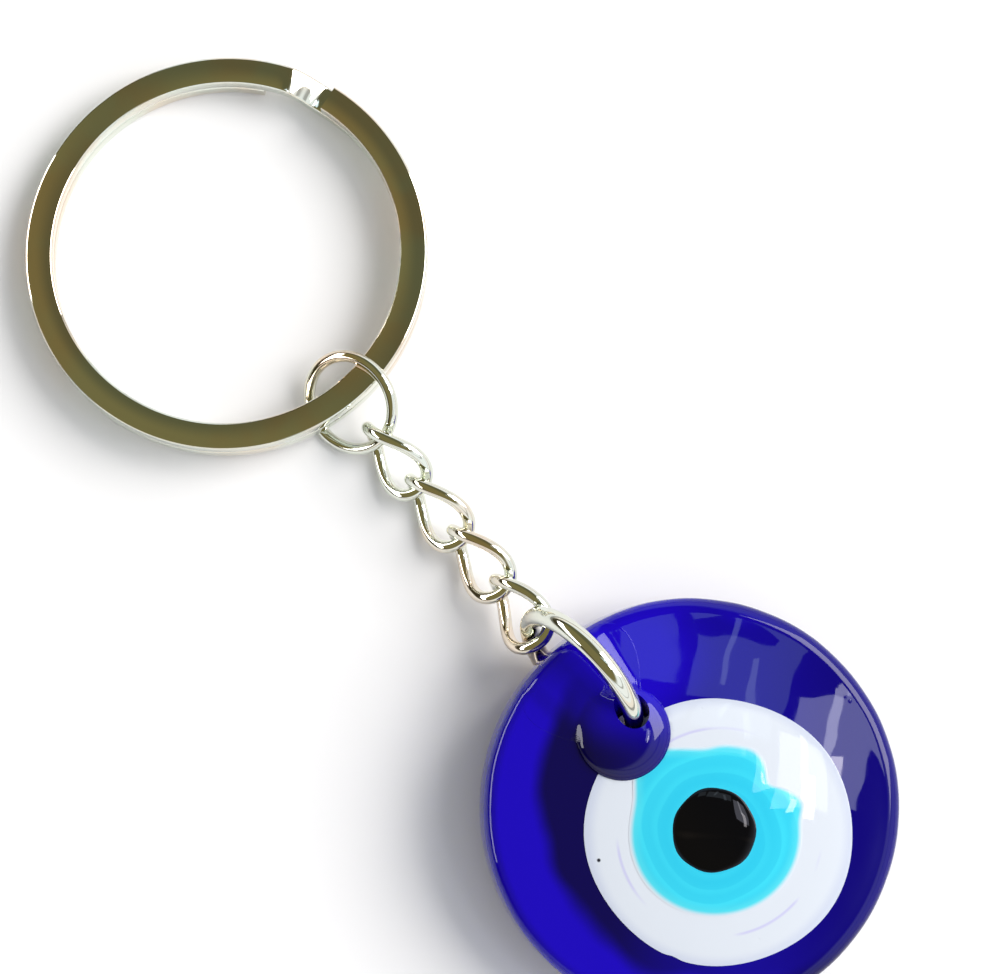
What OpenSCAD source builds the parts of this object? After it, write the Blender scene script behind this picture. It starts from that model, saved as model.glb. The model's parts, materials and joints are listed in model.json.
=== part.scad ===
// Evil eye key ring ornament lying on a table: a split ring, a small jump ring, four twisted
// curb links, a large jump ring and a hanging glass disc with fused eye layers.
// Millimetres, +Z up, the table at z = 0, the chain running along +X.

/* [Split ring] */
// outer diameter of the split ring
ring_od = 30; // [28:0.5:31]
// radial width of its flat wire
ring_w = 2; // [1.6:0.1:2.2]
// height of one turn of the flat wire
turn_h = 1.36; // [1.2:0.02:1.38]
// air between the two turns
turn_gap = 0.06; // [0.04:0.01:0.1]
// bevel on the edges of the flat wire
ring_edge = 0.22; // [0.1:0.02:0.4]
// lift of the chain side, degrees
ring_tilt = 2.7; // [2.6:0.1:2.8]

/* [Small jump ring] */
// wire diameter
small_wire = 0.88; // [0.8:0.02:0.9]
// radius of the wire's centre line
small_radius = 3.6; // [3.55:0.05:3.7]
// roll about the chain's direction, degrees
small_roll = 40; // [39:0.5:41]
// distance of its centre from the split ring's centre
small_x = 14.5; // [14.3:0.05:14.6]

/* [Chain] */
// wire diameter of the curb links
link_wire = 0.95; // [0.85:0.01:0.97]
// half length of a link along its centre line
link_half_len = 3; // [2.95:0.01:3.05]
// half width of a link along its centre line
link_half_wid = 2.15; // [2.1:0.01:2.2]
// how much wider a link grows towards its tail
link_flare = 0.1; // [0.05:0.01:0.15]
// mean angle of the link's section plane, degrees
twist_mean = 45; // [43:1:47]
// half the twist between the two ends of a link, degrees
twist_half = 38; // [36:1:40]
// play between two touching wires
play = 0.08; // [0.07:0.01:0.1]

/* [Large jump ring] */
// wire diameter
large_wire = 1.5; // [1.3:0.05:1.6]
// radius of the wire's centre line
large_radius = 5.4; // [5.3:0.05:5.6]
// lean of the ring from upright, degrees
large_lean = 14; // [12:1:16]
// turn of the ring about the vertical, degrees
large_yaw = 2.4; // [0:0.1:3]

/* [Glass] */
// diameter of the glass disc
glass_d = 30.6; // [30:0.1:31]
// thickness at the middle of the disc
glass_h = 5.4; // [5:0.1:5.6]
// radius of the domed upper face
dome_r = 145; // [100:5:300]
// rounding of the lower edge
low_edge_r = 0.9; // [0.6:0.1:1.1]
// rounding of the upper edge
top_edge_r = 1.1; // [0.6:0.1:1.4]
// rise of the hanging side over the table, degrees
glass_tilt = 7.5; // [7:0.1:8]
// distance of the eye's centre from the disc's centre
eye_x = 2.4; // [2:0.1:2.8]
// radius of the white layer
white_r = 9.75; // [9:0.05:10]
// radius of the iris
iris_r = 6.35; // [5.6:0.05:6.8]
// radius of the pupil
pupil_r = 3.1; // [2.6:0.1:3.6]

/* [Hanging lobe] */
// radius of the lobe at its foot
lobe_r = 3.5; // [3.3:0.1:3.7]
// rise of the lobe over the disc's face
lobe_rise = 1; // [0.7:0.1:1.2]
// distance of the hole from the disc's centre
hole_x = 7.2; // [7:0.1:7.4]
// radius of the hole
hole_r = 1.2; // [1.1:0.05:1.3]

/* [Hidden] */
chrome = [0.62, 0.61, 0.57];
cobalt = [0.05, 0.03, 0.62];
white = [0.88, 0.91, 0.96];
iris = [0.25, 0.78, 0.92];
black = [0.03, 0.03, 0.05];

// links, one entry each: roll, pitch and yaw in degrees
link_turn = [[16, 2.8, 0], [13, -2, -0.5], [11, -8, -1], [7.5, -18, -5]];
head_play = 0.42;
tail_play = 0.12;
side_play = 0.19;

// split ring
turn_step = turn_h + turn_gap;
top_start = 123;
top_sweep = 345;
low_start = 129;
low_sweep = 340;
ramp_low = 109;
ramp_inset = 0.03;
ring_lift = ring_od / 2 * sin(ring_tilt);

// small ring: where the first link hangs on it
small_z = small_radius * sin(small_roll) + small_wire / 2;
hang_point = [small_x + small_radius, -side_play, small_z - side_play * tan(small_roll)];

// direction a link points in, from its head to its tail
function heading(t) = [cos(t[1]) * cos(t[2]), cos(t[1]) * sin(t[2]), -sin(t[1])];
// wire centre at a link's head, given the wire centre it hangs on
function head_of(k) = k == 0
    ? hang_point - (small_wire / 2 + link_wire / 2 + head_play) * heading(link_turn[0])
    : tail_of(k - 1) - (link_wire + play) * heading(link_turn[k]);
function tail_of(k) = head_of(k) + 2 * link_half_len * heading(link_turn[k]);

// large ring: its own directions, the point it is held by, its centre
large_along = [cos(large_yaw), sin(large_yaw), 0];
large_side = [-sin(large_yaw), cos(large_yaw), 0];
large_up = [0, 0, cos(large_lean)] + sin(large_lean) * large_side;
large_z = large_radius * cos(large_lean) + large_wire / 2;
held_at = tail_of(3) - (large_wire / 2 + link_wire / 2 + tail_play) * heading(link_turn[3]);
held_angle = 180 + asin((large_z - held_at[2]) / (large_radius * cos(large_lean)));
large_c = held_at - large_radius * (cos(held_angle) * large_along + sin(held_angle) * large_up);
cut_sweep = 357;
large_cut = 292;
small_cut = 256;

// glass: the far rim rests on the table, the hole sits round the large ring's wire
hole_mid = 3.1;
hole_sweep = 150;
glass_z = (glass_d / 2 - low_edge_r) * sin(glass_tilt) + low_edge_r * (1 - cos(glass_tilt));
glass_x = large_c[0] + large_radius + hole_x * cos(glass_tilt) - hole_mid * sin(glass_tilt);
hole_y = large_c[1] + large_radius * sin(large_yaw);
lobe_x = -hole_x - 0.4;
lobe_y = hole_y - 0.8;
// each layer was laid a little to one side of the one below
white_c = [eye_x, 0.33, 0];
iris_c = [eye_x - 0.3, 0.15, 0];
pupil_c = [eye_x - 0.4, 0.05, 0];
white_cut = 1.25;
iris_cut = 0.95;
pupil_cut = 0.6;
white_bulge = 110;
iris_bulge = 60;
pupil_bulge = 40;
white_top = 5.42;
iris_top = 5.5;
pupil_top = 5.56;
lobe_floor = 3;
neck_half = 2.5;
neck_flare = 3.4;
neck_rise = 0.45;

// middle of the ornament's length, taken as the origin
x_low = -ring_od / 2 * cos(ring_tilt) - (turn_step + turn_h - ring_edge) * sin(ring_tilt);
x_high = glass_x + (glass_d / 2 - top_edge_r) * cos(glass_tilt)
    + (glass_h - 2 * top_edge_r) * sin(glass_tilt) + top_edge_r;
x_mid = (x_low + x_high) / 2;

module placed() translate([-x_mid, 0, 0]) children();

// ---- split ring ----

function flat_wire(inset) = let (
    a = ring_od / 2 - ring_w + inset, b = ring_od / 2 - inset, h = turn_h - inset, e = ring_edge)
    [[a + e, inset], [b - e, inset], [b, inset + e], [b, h - e],
     [b - e, h], [a + e, h], [a, h - e], [a, inset + e]];

function ramp_height(angle) = angle <= ramp_low ? 0 : angle >= top_start ? turn_step
    : turn_step * (0.5 - 0.5 * cos(180 * (angle - ramp_low) / (top_start - ramp_low)));

module ramp() {
    section = flat_wire(ramp_inset);
    n = len(section);
    steps = 12;
    from = ramp_low - 1;
    stride = (top_start - ramp_low + 2) / steps;
    points = [for (i = [0:steps], p = section) let (t = from + i * stride)
        [p[0] * cos(t), p[0] * sin(t), p[1] + ramp_height(t)]];
    sides = [for (i = [0:steps - 1], j = [0:n - 1]) let (k = (j + 1) % n)
        each [[i * n + j, i * n + k, (i + 1) * n + k],
              [i * n + j, (i + 1) * n + k, (i + 1) * n + j]]];
    low_end = [for (j = [n - 1:-1:0]) j];
    high_end = [for (j = [0:n - 1]) steps * n + j];
    polyhedron(points, concat(sides, [low_end, high_end]));
}

module split_ring() {
    color(chrome) placed() translate([0, 0, ring_lift]) rotate([0, -ring_tilt, 0]) union() {
        rotate_extrude(angle = low_sweep, start = low_start, $fn = 180) polygon(flat_wire(0));
        translate([0, 0, turn_step])
            rotate_extrude(angle = top_sweep, start = top_start, $fn = 180) polygon(flat_wire(0));
        ramp();
    }
}

// ---- round wire rings ----

module wire_ring(radius, wire, cut) {
    rotate_extrude(angle = cut_sweep, start = cut, $fn = 120)
        translate([radius, 0]) circle(d = wire, $fn = 48);
}

module small_jump_ring() {
    color(chrome) placed() translate([small_x, 0, small_z]) rotate([small_roll, 0, 0])
        wire_ring(small_radius, small_wire, small_cut);
}

module large_jump_ring() {
    color(chrome) placed() translate(large_c) rotate([90 - large_lean, 0, large_yaw])
        wire_ring(large_radius, large_wire, large_cut);
}

// ---- twisted curb link ----

function link_path(t) = let (
    phi = twist_mean - twist_half * cos(t),
    w = link_half_wid * sin(t) * (1 + link_flare * cos(t)))
    [link_half_len * cos(t), w * cos(phi), w * sin(phi)];
function unit(v) = v / norm(v);

module curb_link() {
    around = 16;
    along = 64;
    points = [for (i = [0:along - 1]) let (
        t = i * 360 / along,
        p = link_path(t),
        forward = unit(link_path(t + 1) - link_path(t - 1)),
        across = unit(cross(forward, p)),
        outward = cross(across, forward))
        for (j = [0:around - 1]) let (s = j * 360 / around)
            p + link_wire / 2 * (cos(s) * outward + sin(s) * across)];
    faces = [for (i = [0:along - 1], j = [0:around - 1]) let (
        m = (i + 1) % along, k = (j + 1) % around)
        each [[i * around + j, m * around + j, m * around + k],
              [i * around + j, m * around + k, i * around + k]]];
    polyhedron(points, faces);
}

module placed_link(k) {
    color(chrome) placed() translate((head_of(k) + tail_of(k)) / 2) rotate(link_turn[k])
        curb_link();
}

module chain_link_1() placed_link(0);
module chain_link_2() placed_link(1);
module chain_link_3() placed_link(2);
module chain_link_4() placed_link(3);

// ---- glass ----

module on_glass() translate([glass_x, 0, glass_z]) rotate([0, glass_tilt, 0]) children();

// points on an arc, both ends included
function arc(x, y, r, from, to, steps) =
    [for (i = [0:steps]) let (t = from + (to - from) * i / steps) [x + r * cos(t), y + r * sin(t)]];
// height of a dome over the axis distance x
function dome(top, radius, x) = top - radius + sqrt(radius * radius - x * x);

// section of the disc, or of anything that follows it at a rise over its face
module disc_section(rise) {
    rim = glass_d / 2;
    flat = rim - top_edge_r;
    shoulder = dome(glass_h, dome_r, flat) + rise;
    slope = asin(flat / dome_r);
    polygon(concat(
        [[0, 0]],
        arc(rim - low_edge_r, low_edge_r, low_edge_r, -90, 0, 6),
        arc(rim - top_edge_r, shoulder - top_edge_r, top_edge_r, 0, 90, 8),
        [for (i = [3:-1:1]) [flat * i / 4, dome(glass_h, dome_r, flat * i / 4) + rise]],
        [[0, glass_h + rise]]));
}

// the hole follows the large ring's wire, which bends through the glass
module hole() {
    translate(large_c) rotate([90 - large_lean, 0, large_yaw])
        rotate_extrude(angle = hole_sweep, start = -90, $fn = 120)
            translate([large_radius, 0]) circle(r = hole_r, $fn = 48);
}

module lobe_foot(top) {
    translate([lobe_x, lobe_y, lobe_floor]) cylinder(r = lobe_r, h = top - lobe_floor, $fn = 90);
}

// the neck runs from inside the lobe out past the rim, growing wider
module neck_block(reach) {
    inner = lobe_x + 1;
    bend = lobe_x - 4;
    translate([0, 0, lobe_floor]) linear_extrude(glass_h)
        polygon([[inner, lobe_y - neck_half], [bend, lobe_y - neck_half],
                 [-reach, lobe_y - neck_flare], [-reach, lobe_y + neck_flare],
                 [bend, lobe_y + neck_half], [inner, lobe_y + neck_half]]);
}

module eye_pocket() {
    translate(white_c + [0, 0, white_top - white_cut]) cylinder(r = white_r, h = 4, $fn = 120);
}

module cobalt_base() {
    color(cobalt) placed() difference() {
        on_glass() difference() {
            rotate_extrude($fn = 180) disc_section(0);
            eye_pocket();
            lobe_foot(glass_h + 4);
            neck_block(glass_d / 2 + 1);
        }
        hole();
    }
}

module lobe_dome() {
    foot = glass_h - 0.25;
    rise = lobe_rise + 0.25;
    cap = (lobe_r * lobe_r + rise * rise) / (2 * rise);
    side = asin(lobe_r / cap);
    translate([lobe_x, lobe_y, 0]) rotate_extrude($fn = 90) polygon(concat(
        [[0, lobe_floor], [lobe_r, lobe_floor]],
        arc(0, foot + rise - cap, cap, 90 - side, 90, 10)));
}

module hanging_lobe() {
    color(cobalt) placed() difference() {
        on_glass() union() {
            lobe_dome();
            intersection() {
                rotate_extrude($fn = 180) disc_section(neck_rise);
                neck_block(glass_d / 2 + 1);
            }
        }
        hole();
    }
}

// a round inlay: its radius, its floor, the top of its gently bulging face
module inlay(radius, floor_z, top_z, bulge) {
    intersection() {
        translate([0, 0, floor_z]) cylinder(r = radius, h = 3, $fn = 120);
        translate([0, 0, top_z - bulge]) sphere(r = bulge, $fn = 360);
    }
}

module white_layer() {
    color(white) placed() on_glass() difference() {
        translate(white_c) inlay(white_r, white_top - white_cut, white_top, white_bulge);
        translate(iris_c + [0, 0, iris_top - iris_cut]) cylinder(r = iris_r, h = 2, $fn = 120);
        lobe_foot(glass_h + 4);
        neck_block(glass_d / 2 + 1);
    }
}

module iris_layer() {
    color(iris) placed() on_glass() difference() {
        translate(iris_c) inlay(iris_r, iris_top - iris_cut, iris_top, iris_bulge);
        translate(pupil_c + [0, 0, pupil_top - pupil_cut]) cylinder(r = pupil_r, h = 2, $fn = 120);
        lobe_foot(glass_h + 4);
    }
}

module pupil_dot() {
    color(black) placed() on_glass() translate(pupil_c)
        inlay(pupil_r, pupil_top - pupil_cut, pupil_top, pupil_bulge);
}

split_ring();
small_jump_ring();
chain_link_1();
chain_link_2();
chain_link_3();
chain_link_4();
large_jump_ring();
cobalt_base();
hanging_lobe();
white_layer();
iris_layer();
pupil_dot();
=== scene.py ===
# %% [markdown]
# # An evil eye keychain
# A glass eye disc hangs from a split ring by two jump rings and four twisted curb links.
# The imported model gives the frame: where each body's joint sits, and the box of the whole
# thing. Every piece below is shaped in millimetres, because its parts are only a few of them
# across, and scaled to metres at the end. +X runs along the chain, +Z is up, the table is z = 0.

# %% Load the frame
import json
import math

import bmesh
import bpy
from mathutils import Euler, Matrix, Vector, noise


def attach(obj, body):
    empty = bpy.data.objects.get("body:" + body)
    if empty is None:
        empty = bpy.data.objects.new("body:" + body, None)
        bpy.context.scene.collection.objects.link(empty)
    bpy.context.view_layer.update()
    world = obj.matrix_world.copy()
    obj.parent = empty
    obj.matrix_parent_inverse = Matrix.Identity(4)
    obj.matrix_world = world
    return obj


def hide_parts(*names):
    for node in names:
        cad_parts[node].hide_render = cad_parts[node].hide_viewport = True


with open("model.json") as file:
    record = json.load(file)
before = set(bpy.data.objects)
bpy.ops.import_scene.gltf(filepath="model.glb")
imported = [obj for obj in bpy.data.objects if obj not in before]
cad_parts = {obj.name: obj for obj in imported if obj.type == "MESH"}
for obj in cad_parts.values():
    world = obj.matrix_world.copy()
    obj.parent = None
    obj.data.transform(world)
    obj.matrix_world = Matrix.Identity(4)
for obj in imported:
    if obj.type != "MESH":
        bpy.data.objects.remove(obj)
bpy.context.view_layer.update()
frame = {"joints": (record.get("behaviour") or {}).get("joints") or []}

MM = 0.001
SAME_SPOT = 1e-4    # points this close, in millimetres, are merged
JOINT = {joint["child"]: Vector(joint["pos_m"]) / MM for joint in frame["joints"]}
scene = bpy.context.scene

# %% [markdown]
# ## Camera
# The keychain is seen from almost straight above with a long lens, so circles stay nearly round.
# A camera can be turned with three angles, but angles are hard to read. Here the eye point, the
# line of sight and the way up are given, and the camera's matrix is put together from them.

# %% Camera
EYE = Vector((28.55, -24.73, 296.66)) * MM
SIGHT = Vector((-0.0979, 0.0984, -0.9903)).normalized()
UP = Vector((-0.764, 0.630, 0.138)).normalized()
LENS = 144.3
camera_data = bpy.data.cameras.new("camera")
camera_data.lens = LENS
camera_data.clip_start = 0.01
camera = bpy.data.objects.new("camera", camera_data)
right = SIGHT.cross(UP).normalized()
camera.matrix_world = Matrix.Translation(EYE) @ Matrix(
    (right, right.cross(SIGHT), -SIGHT)).transposed().to_4x4()
scene.collection.objects.link(camera)
scene.camera = camera
scene.view_settings.view_transform = "Standard"
print("camera", camera.location)

# %% [markdown]
# ## Node helpers
# A finish is a network of shader nodes. Wired one call at a time, it is long and hard to follow,
# so small functions add one node each and give back its output. A finish then reads as a
# short list of steps: fade this, blend those, multiply by a mask.

# %% Node helpers
def group(name, inputs, outputs):
    """An empty shader group with named sockets."""
    made = bpy.data.node_groups.new(name, "ShaderNodeTree")
    for socket, kind in inputs:
        made.interface.new_socket(name=socket, in_out="INPUT", socket_type=kind)
    for socket, kind in outputs:
        made.interface.new_socket(name=socket, in_out="OUTPUT", socket_type=kind)
    return made, made.nodes.new("NodeGroupInput"), made.nodes.new("NodeGroupOutput")


def add(tree, kind, **settings):
    """A node with its settings, and its input values by name or number."""
    node = tree.nodes.new(kind)
    values = settings.pop("values", {})
    for key, value in settings.items():
        setattr(node, key, value)
    for key, value in values.items():
        node.inputs[key].default_value = value
    return node


def maths(tree, operation, a, b=None):
    """A Math node fed by sockets or numbers; gives its output socket."""
    node = add(tree, "ShaderNodeMath", operation=operation)
    for index, item in enumerate((a, b)):
        if item is None:
            continue
        if isinstance(item, (int, float)):
            node.inputs[index].default_value = item
        else:
            tree.links.new(item, node.inputs[index])
    return node.outputs[0]


def fade(tree, value, low, high):
    """0 below low, 1 above high, smooth between."""
    node = add(tree, "ShaderNodeMapRange", interpolation_type="SMOOTHSTEP")
    tree.links.new(value, node.inputs["Value"])
    node.inputs["From Min"].default_value = low
    node.inputs["From Max"].default_value = high
    return node.outputs["Result"]


def flip(tree, mask):
    """One minus a mask."""
    return maths(tree, "SUBTRACT", 1.0, mask)


def both(tree, mask, other):
    """Two masks, or a mask and a share, multiplied."""
    return maths(tree, "MULTIPLY", mask, other)


def band(tree, value, low, high, soft):
    """1 between low and high, fading out over soft on both sides."""
    return both(tree, fade(tree, value, low - soft, low), flip(tree, fade(tree, value, high, high + soft)))


COLOUR_A, COLOUR_B, COLOUR_OUT = 6, 7, 2    # the Mix node's colour sockets, by number


def blend(tree, factor, a, b, mix="MIX"):
    """A colour mix by a mask socket or a share; a and b are sockets or colours."""
    node = add(tree, "ShaderNodeMix", data_type="RGBA", blend_type=mix)
    for item, socket in ((factor, node.inputs["Factor"]), (a, node.inputs[COLOUR_A]),
                         (b, node.inputs[COLOUR_B])):
        if isinstance(item, (tuple, float)):
            socket.default_value = item
        else:
            tree.links.new(item, socket)
    return node.outputs[COLOUR_OUT]


def facing(tree, direction, axis):
    """Cosine between a direction socket and a fixed axis."""
    node = add(tree, "ShaderNodeVectorMath", operation="DOT_PRODUCT")
    tree.links.new(direction, node.inputs[0])
    node.inputs[1].default_value = Vector(axis).normalized()
    return node.outputs["Value"]


print("node helpers ready")

# %% [markdown]
# ## Table
# The keychain lies on a matt white table. A grid of a few faces is enough, as nothing bends it.

# %% Table
TABLE_HALF = 1.5
bm = bmesh.new()
bmesh.ops.create_grid(bm, x_segments=2, y_segments=2, size=TABLE_HALF)
table_mesh = bpy.data.meshes.new("table")
bm.to_mesh(table_mesh)
bm.free()
table = bpy.data.objects.new("table", table_mesh)
scene.collection.objects.link(table)
table_material = bpy.data.materials.new("matt white table")
table_material.use_nodes = True
table_shader = table_material.node_tree.nodes["Principled BSDF"]
table_shader.inputs["Base Color"].default_value = (0.93, 0.935, 0.94, 1)
table_shader.inputs["Roughness"].default_value = 0.9
table_shader.inputs["Specular IOR Level"].default_value = 0.1
table_mesh.materials.append(table_material)
print("table", TABLE_HALF * 2, "m wide")

# %% [markdown]
# ## Room
# Polished metal shows the room more than itself. A picture of a room could light the scene, but
# a few colours by direction do the same and stay easy to change. This room is dim and olive
# overhead and to one side, bright on the other, with a few dark bars, so flat plated faces
# turn olive and round wires get a dark stripe beside a bright one.

# %% Room
OLIVE = (0.225, 0.192, 0.080, 1)
MOSS = (0.135, 0.130, 0.066, 1)
UMBER = (0.05, 0.042, 0.02, 1)
BRIGHT = (1.12, 1.15, 1.20, 1)
CREAM = (1.12, 1.02, 0.95, 1)
FRAME = (0.25, 0.24, 0.22, 1)
DIM_AXIS, DIM_EDGE = (-0.38, -0.33, 0.86), (0.42, 0.56)
OLIVE_SIDE, MOSS_SIDE = -0.02, 0.17
# heights run from 0 at the horizon to 1 overhead: low, high, softness
UMBER_HEIGHTS = (0.1, 0.34, 0.1)
CREAM_HEIGHTS = (0.08, 0.2, 0.06)
SKIRTING_HEIGHTS = (0.0, 0.06, 0.03)
BAR_HEIGHTS = ((0.60, 0.63, 0.015), (0.36, 0.375, 0.01))
BAR_SHARE, SKIRTING_SHARE = 0.7, 0.8
world = bpy.data.worlds.new("room")
scene.world = world
world.use_nodes = True
tree = world.node_tree
background = tree.nodes["Background"]
coordinates = add(tree, "ShaderNodeTexCoord")
split = add(tree, "ShaderNodeSeparateXYZ")
tree.links.new(coordinates.outputs["Generated"], split.inputs[0])
height = split.outputs["Z"]
dim = fade(tree, facing(tree, coordinates.outputs["Generated"], DIM_AXIS), *DIM_EDGE)
bars = maths(tree, "ADD", *(band(tree, height, *bar) for bar in BAR_HEIGHTS))
olive = blend(tree, fade(tree, split.outputs["Y"], OLIVE_SIDE, MOSS_SIDE), OLIVE, MOSS)
sky = blend(tree, both(tree, bars, BAR_SHARE), BRIGHT, FRAME)
sky = blend(tree, band(tree, height, *CREAM_HEIGHTS), sky, CREAM)
sky = blend(tree, dim, sky, olive)
sky = blend(tree, both(tree, dim, band(tree, height, *UMBER_HEIGHTS)), sky, UMBER)
sky = blend(tree, both(tree, band(tree, height, *SKIRTING_HEIGHTS), SKIRTING_SHARE), sky, FRAME)
tree.links.new(sky, background.inputs["Color"])
print("room ready")

# %% [markdown]
# ## Lights
# A wide window gives the soft shadows, and a bluish fill keeps them from going brown. Both could
# be one large lamp, but then the shadows and the reflections could not be set apart. Small
# panes overhead light nearly nothing: they are there for the window shapes they leave on glass.
# Panes are placed by slopes, metres across for each metre up, as seen from the disc.

# %% Lights
def lamp(name, centre, along, size, watts, target, tint):
    """A rectangle of light that faces a target; along is the way its first side runs."""
    data = bpy.data.lights.new(name, "AREA")
    data.shape = "RECTANGLE"
    data.size, data.size_y = size
    data.energy = watts
    data.color = tint
    away = (Vector(centre) - Vector(target)).normalized()
    first = Vector((math.cos(along), math.sin(along), 0))
    first = (first - away * first.dot(away)).normalized()
    obj = bpy.data.objects.new(name, data)
    obj.matrix_world = Matrix.Translation(centre) @ Matrix(
        (first, away.cross(first), away)).transposed().to_4x4()
    scene.collection.objects.link(obj)
    return obj


# panes: slopes, sizes, turn in degrees, radiance and tint
PANE_HEIGHT = 0.6
DISC_SPOT = (0.028, 0, 0.007)
PALE_BLUE = (0.70, 0.85, 1.0)


def pane(name, slope, size, along, radiance, tint):
    """A window pane overhead, placed and sized by slopes as seen from the disc."""
    centre = (DISC_SPOT[0] + slope[0] * PANE_HEIGHT, slope[1] * PANE_HEIGHT, PANE_HEIGHT)
    size = [side * PANE_HEIGHT for side in size]
    watts = radiance * math.pi * size[0] * size[1]
    lamp(name, centre, math.radians(along), size, watts, DISC_SPOT, tint)


pane("bright pane", (0.323, 0.295), (0.115, 0.147), 41, 5.0, (0.80, 0.82, 1.0))
pane("pane corner", (0.365, 0.262), (0.030, 0.085), 41, 15.0, (1.0, 0.95, 0.98))
pane("pane slat", (0.300, 0.318), (0.016, 0.110), 41, 8.0, (0.90, 0.90, 1.0))
pane("middle pane", (0.149, 0.255), (0.150, 0.092), 40, 1.5, PALE_BLUE)
pane("middle slat", (0.120, 0.262), (0.010, 0.086), 33, 2.6, PALE_BLUE)
pane("middle bar", (0.182, 0.262), (0.014, 0.080), 47, 2.4, PALE_BLUE)
pane("far pane", (0.048, 0.172), (0.076, 0.075), 50, 1.3, PALE_BLUE)
strip = lamp("low strip", (-0.66, -0.60, 0.36), math.radians(-48), (1.1, 0.2), 5.5, DISC_SPOT,
             (1, 0.98, 0.97))
strip.visible_diffuse = False
lamp("window light", (0.24, 0.64, 0.62), 0.0, (0.6, 0.6), 8.3, (0, 0, 0), (1, 0.955, 0.915))
fill = lamp("overhead fill", (0, 0, 1.0), 0.0, (1.4, 1.4), 2.8, (0, 0, 0), (0.55, 0.66, 1.0))
fill.visible_glossy = False
print("lights ready")

# %% [markdown]
# ## Making pieces
# Each piece is one mesh at the origin with its place in its vertices. Moving the objects would
# also work here, but the export puts every object back at the origin, so the mesh holds the
# place. A helper names the piece, smooths it except at sharp edges, gives it its finish,
# and ties it to the body it moves with.

# %% Piece helper
def piece(name, bm, finish, body, node, sharp=40.0):
    """Turns a finished bmesh, in millimetres, into a named piece of the keychain."""
    bmesh.ops.scale(bm, vec=(MM, MM, MM), verts=bm.verts)
    mesh = bpy.data.meshes.new(name)
    bm.to_mesh(mesh)
    bm.free()
    mesh.shade_smooth()
    mesh.set_sharp_from_angle(angle=math.radians(sharp))
    obj = bpy.data.objects.new(name, mesh)
    scene.collection.objects.link(obj)
    mesh.materials.append(finish)
    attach(obj, body)
    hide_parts(node)
    print(name, len(mesh.polygons), "faces")

# %% [markdown]
# ## Plated metal
# Bright nickel plate picks up hairline scratches, a few pits and faint warm stains. They could be
# painted, but noise stretched in one direction makes hairs, and small Voronoi cells make pits, at
# any size. One node group makes them from object coordinates, so both metal finishes share it
# with their own amounts.

# %% Plate wear group
HAIR_STRETCH, HAIR_TURN = (5000, 500, 2000), (0.3, 0.2, 0.9)
CLEAN_TINT, STAIN_TINT = (0.93, 1.0, 0.95, 1), (1.0, 0.9, 0.78, 1)
HAIR_ROUGH, PIT_ROUGH, CLOUD_ROUGH, CLOUD_RELIEF = 0.12, 0.35, 0.06, 0.5
wear, wear_in, wear_out = group(
    "plate wear",
    [("Scratches", "NodeSocketFloat"), ("Pits", "NodeSocketFloat")],
    [("Tint", "NodeSocketColor"), ("Roughness", "NodeSocketFloat"), ("Height", "NodeSocketFloat")])
place = add(wear, "ShaderNodeTexCoord")
stretch = add(wear, "ShaderNodeMapping", values={"Scale": HAIR_STRETCH, "Rotation": HAIR_TURN})
hairs = add(wear, "ShaderNodeTexNoise", values={"Scale": 1.0, "Detail": 3.0, "Roughness": 0.7})
clouds = add(wear, "ShaderNodeTexNoise", values={"Scale": 260.0, "Detail": 2.0})
stains = add(wear, "ShaderNodeTexNoise", values={"Scale": 130.0, "Detail": 3.0})
dots = add(wear, "ShaderNodeTexVoronoi", values={"Scale": 420.0, "Randomness": 1.0})
wear.links.new(place.outputs["Object"], stretch.inputs["Vector"])
wear.links.new(stretch.outputs["Vector"], hairs.inputs["Vector"])
for texture in (clouds, stains, dots):
    wear.links.new(place.outputs["Object"], texture.inputs["Vector"])
cloud = clouds.outputs["Fac"]
pits = flip(wear, fade(wear, dots.outputs["Distance"], 0.03, 0.09))
pits = both(wear, pits, fade(wear, cloud, 0.52, 0.6))
pits = both(wear, pits, wear_in.outputs["Pits"])
lines = both(wear, fade(wear, hairs.outputs["Fac"], 0.6, 0.75), wear_in.outputs["Scratches"])
rough = maths(wear, "ADD", both(wear, lines, HAIR_ROUGH), both(wear, pits, PIT_ROUGH))
rough = maths(wear, "ADD", rough, both(wear, cloud, CLOUD_ROUGH))
tint = blend(wear, fade(wear, stains.outputs["Fac"], 0.42, 0.6), CLEAN_TINT, STAIN_TINT)
height = maths(wear, "SUBTRACT", both(wear, cloud, CLOUD_RELIEF), lines)
for result, socket in ((rough, "Roughness"), (height, "Height"), (tint, "Tint")):
    wear.links.new(result, wear_out.inputs[socket])
print("plate wear group", len(wear.nodes), "nodes")

# %% Plated finishes
PLATE_ROUGH = 0.02
HAIR_DEPTH = 0.00001


def plated(name, colour, scratches, pit_amount, bump):
    """Nickel plate over steel with its own share of the shared wear."""
    material = bpy.data.materials.new(name)
    material.use_nodes = True
    tree = material.node_tree
    shader = tree.nodes["Principled BSDF"]
    shader.inputs["Metallic"].default_value = 1.0
    worn = add(tree, "ShaderNodeGroup", node_tree=wear,
               values={"Scratches": scratches, "Pits": pit_amount})
    tone = blend(tree, 1.0, colour, worn.outputs["Tint"], mix="MULTIPLY")
    rough = maths(tree, "ADD", worn.outputs["Roughness"], PLATE_ROUGH)
    relief = add(tree, "ShaderNodeBump", values={"Strength": bump, "Distance": HAIR_DEPTH})
    tree.links.new(worn.outputs["Height"], relief.inputs["Height"])
    for result, socket in ((tone, "Base Color"), (rough, "Roughness"),
                           (relief.outputs["Normal"], "Normal")):
        tree.links.new(result, shader.inputs[socket])
    return material


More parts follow.
